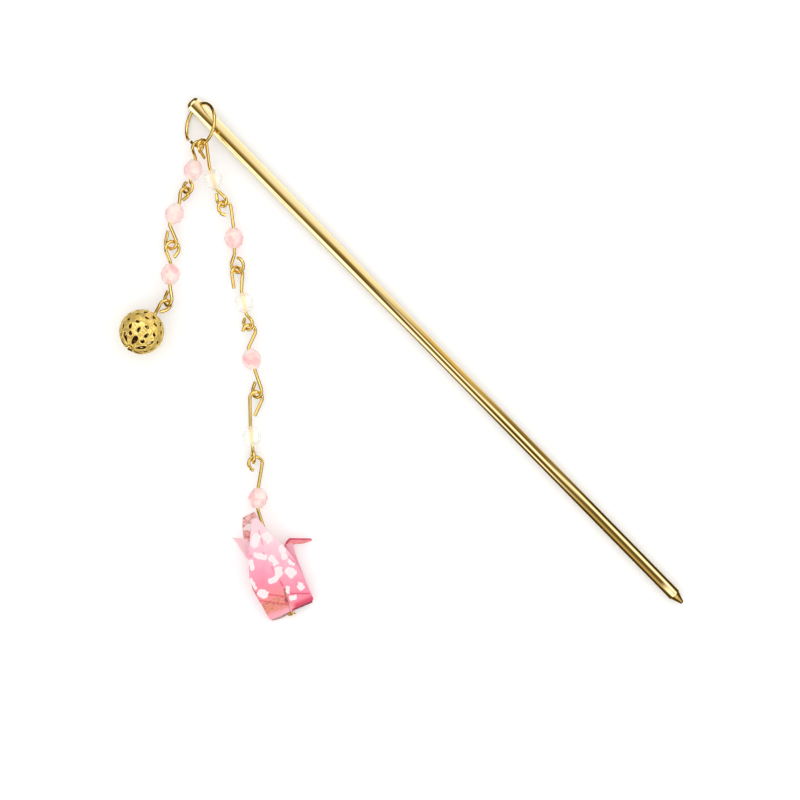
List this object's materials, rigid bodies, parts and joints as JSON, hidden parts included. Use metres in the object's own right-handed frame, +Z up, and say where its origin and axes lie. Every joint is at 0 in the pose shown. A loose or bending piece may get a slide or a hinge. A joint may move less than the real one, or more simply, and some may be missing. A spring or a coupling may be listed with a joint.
{
  "type": "kanzashi hair stick",
  "caption": "Metal hair stick with a split ring through its head, from which a bead strand with a pierced ball and a bead strand with a folded paper crane dangle.",
  "frame": {"origin": "centre of the bounding box, on the surface the piece lies on", "axes": "+X along the hair stick towards its point, +Z up from the surface, -Y the side where the strands lie"},
  "size_m": [0.125, 0.0566, 0.008],
  "materials": {
    "stick_gold": "polished gold plating",
    "wire_gold": "bright gold-plated wire",
    "ball_gold": "stamped, gold plated",
    "pink_bead": "faceted, pale pink",
    "clear_bead": "faceted, clear with an iridescent coat",
    "washi": "printed washi, matt"
  },
  "bodies": {
    "root": {"hair_stick": "stick_gold", "jump_ring": "wire_gold", "ball_pin": "wire_gold", "filigree_ball": "ball_gold", "crane_pin": "wire_gold", "paper_crane": "washi", "short_pin_1": "wire_gold", "short_pin_2": "wire_gold", "short_pin_3": "wire_gold", "short_bead_1": "pink_bead", "short_bead_2": "pink_bead", "short_bead_3": "pink_bead", "long_pin_1": "wire_gold", "long_pin_2": "wire_gold", "long_pin_3": "wire_gold", "long_pin_4": "wire_gold", "long_pin_5": "wire_gold", "long_bead_1": "clear_bead", "long_bead_2": "pink_bead", "long_bead_3": "clear_bead", "long_bead_4": "pink_bead", "long_bead_5": "clear_bead", "long_bead_6": "pink_bead"}
  },
  "joints": []
}
